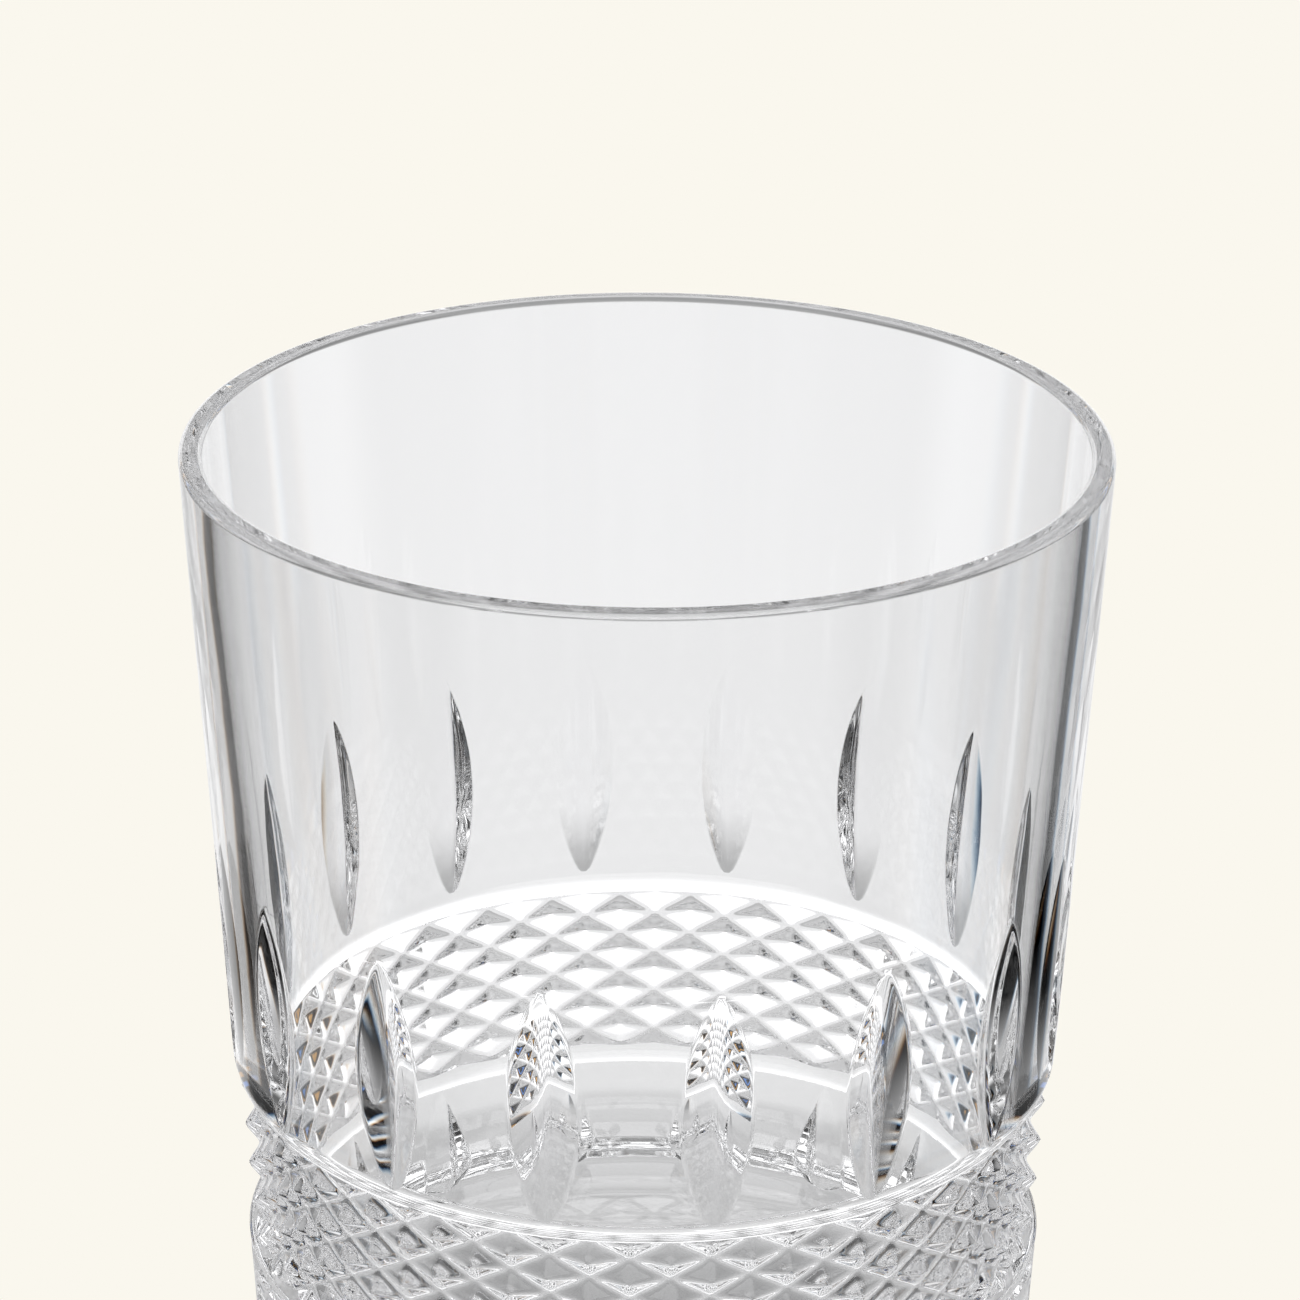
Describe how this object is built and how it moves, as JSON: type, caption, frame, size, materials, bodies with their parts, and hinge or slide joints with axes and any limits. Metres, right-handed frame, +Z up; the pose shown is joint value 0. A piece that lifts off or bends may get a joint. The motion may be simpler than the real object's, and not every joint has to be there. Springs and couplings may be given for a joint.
{
  "type": "whiskey tumbler",
  "caption": "Double old-fashioned whiskey tumbler in clear cut crystal, with upright lancet cuts, polished rings and a band of diamond points above a thick base.",
  "frame": {"origin": "centre of the flat resting face under the base", "axes": "+Z up along the axis of the glass, -Y towards the front of the reference view, +X to its right"},
  "size_m": [0.0858, 0.0858, 0.1009],
  "materials": {
    "crystal": "fire-polished clear crystal"
  },
  "bodies": {
    "root": {"crystal_tumbler": "crystal"}
  },
  "joints": []
}
